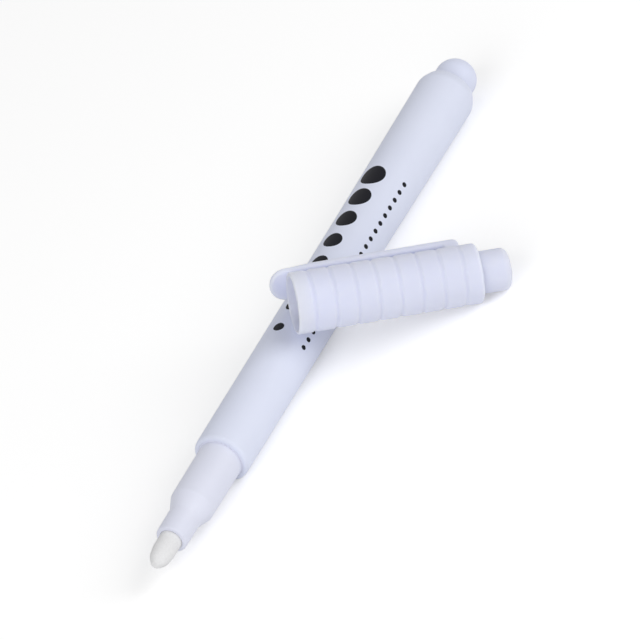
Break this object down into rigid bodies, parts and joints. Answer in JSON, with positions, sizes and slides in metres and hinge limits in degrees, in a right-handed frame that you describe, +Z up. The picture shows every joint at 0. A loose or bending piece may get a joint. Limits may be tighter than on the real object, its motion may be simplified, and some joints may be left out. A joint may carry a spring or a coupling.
{
  "type": "liquid chalk marker",
  "caption": "Slim white liquid chalk marker with a bullet nib on a sprung pump valve, a rear plug, and a ringed push-on cap with a clip, taken off and leaning on the barrel.",
  "frame": {"origin": "on the marker's axis, in the plane of the barrel's front shoulder, where the cap's mouth stops", "axes": "+X along the marker towards the nib, +Z up from the table that the marker lies on"},
  "size_m": [0.1286, 0.0391, 0.0196],
  "materials": {
    "barrel_plastic": "satin white moulding with a cool cast",
    "plug_plastic": "satin white moulding",
    "nose_plastic": "satin white moulding",
    "nib_fibre": "pressed fibre, matt",
    "feed_fibre": "bonded fibre, matt",
    "valve_plastic": "natural moulding",
    "seat_rubber": "moulded",
    "spring_steel": "drawn wire",
    "ball_steel": "polished",
    "cap_plastic": "satin white moulding, ringed",
    "liner_plastic": "satin white moulding"
  },
  "bodies": {
    "barrel": {"barrel": "barrel_plastic", "end_plug": "plug_plastic", "nose": "nose_plastic", "feed_sleeve": "feed_fibre", "valve_housing": "valve_plastic", "valve_seat": "seat_rubber", "valve_retainer": "valve_plastic", "valve_spring": "spring_steel"},
    "nib": {"nib": "nib_fibre", "valve_stem": "valve_plastic"},
    "ball": {"mixing_ball": "ball_steel"},
    "cap": {"cap_shell": "cap_plastic", "inner_cap": "liner_plastic"}
  },
  "joints": [
    {"name": "nib_press", "type": "slide", "parent": "barrel", "child": "nib", "axis": [-1, 0, 0], "range_m": [0, 0.002], "stiffness_N_per_m": 800, "springref_m": -0.001, "deforming": ["valve_spring"]},
    {"name": "ball_run", "type": "slide", "parent": "barrel", "child": "ball", "axis": [1, 0, 0], "range_m": [-0.03405, 0.03405]},
    {"name": "cap_lift", "type": "slide", "parent": "barrel", "child": "cap", "axis": [0, 0, 1], "range_m": [0, 0.06]}
  ]
}
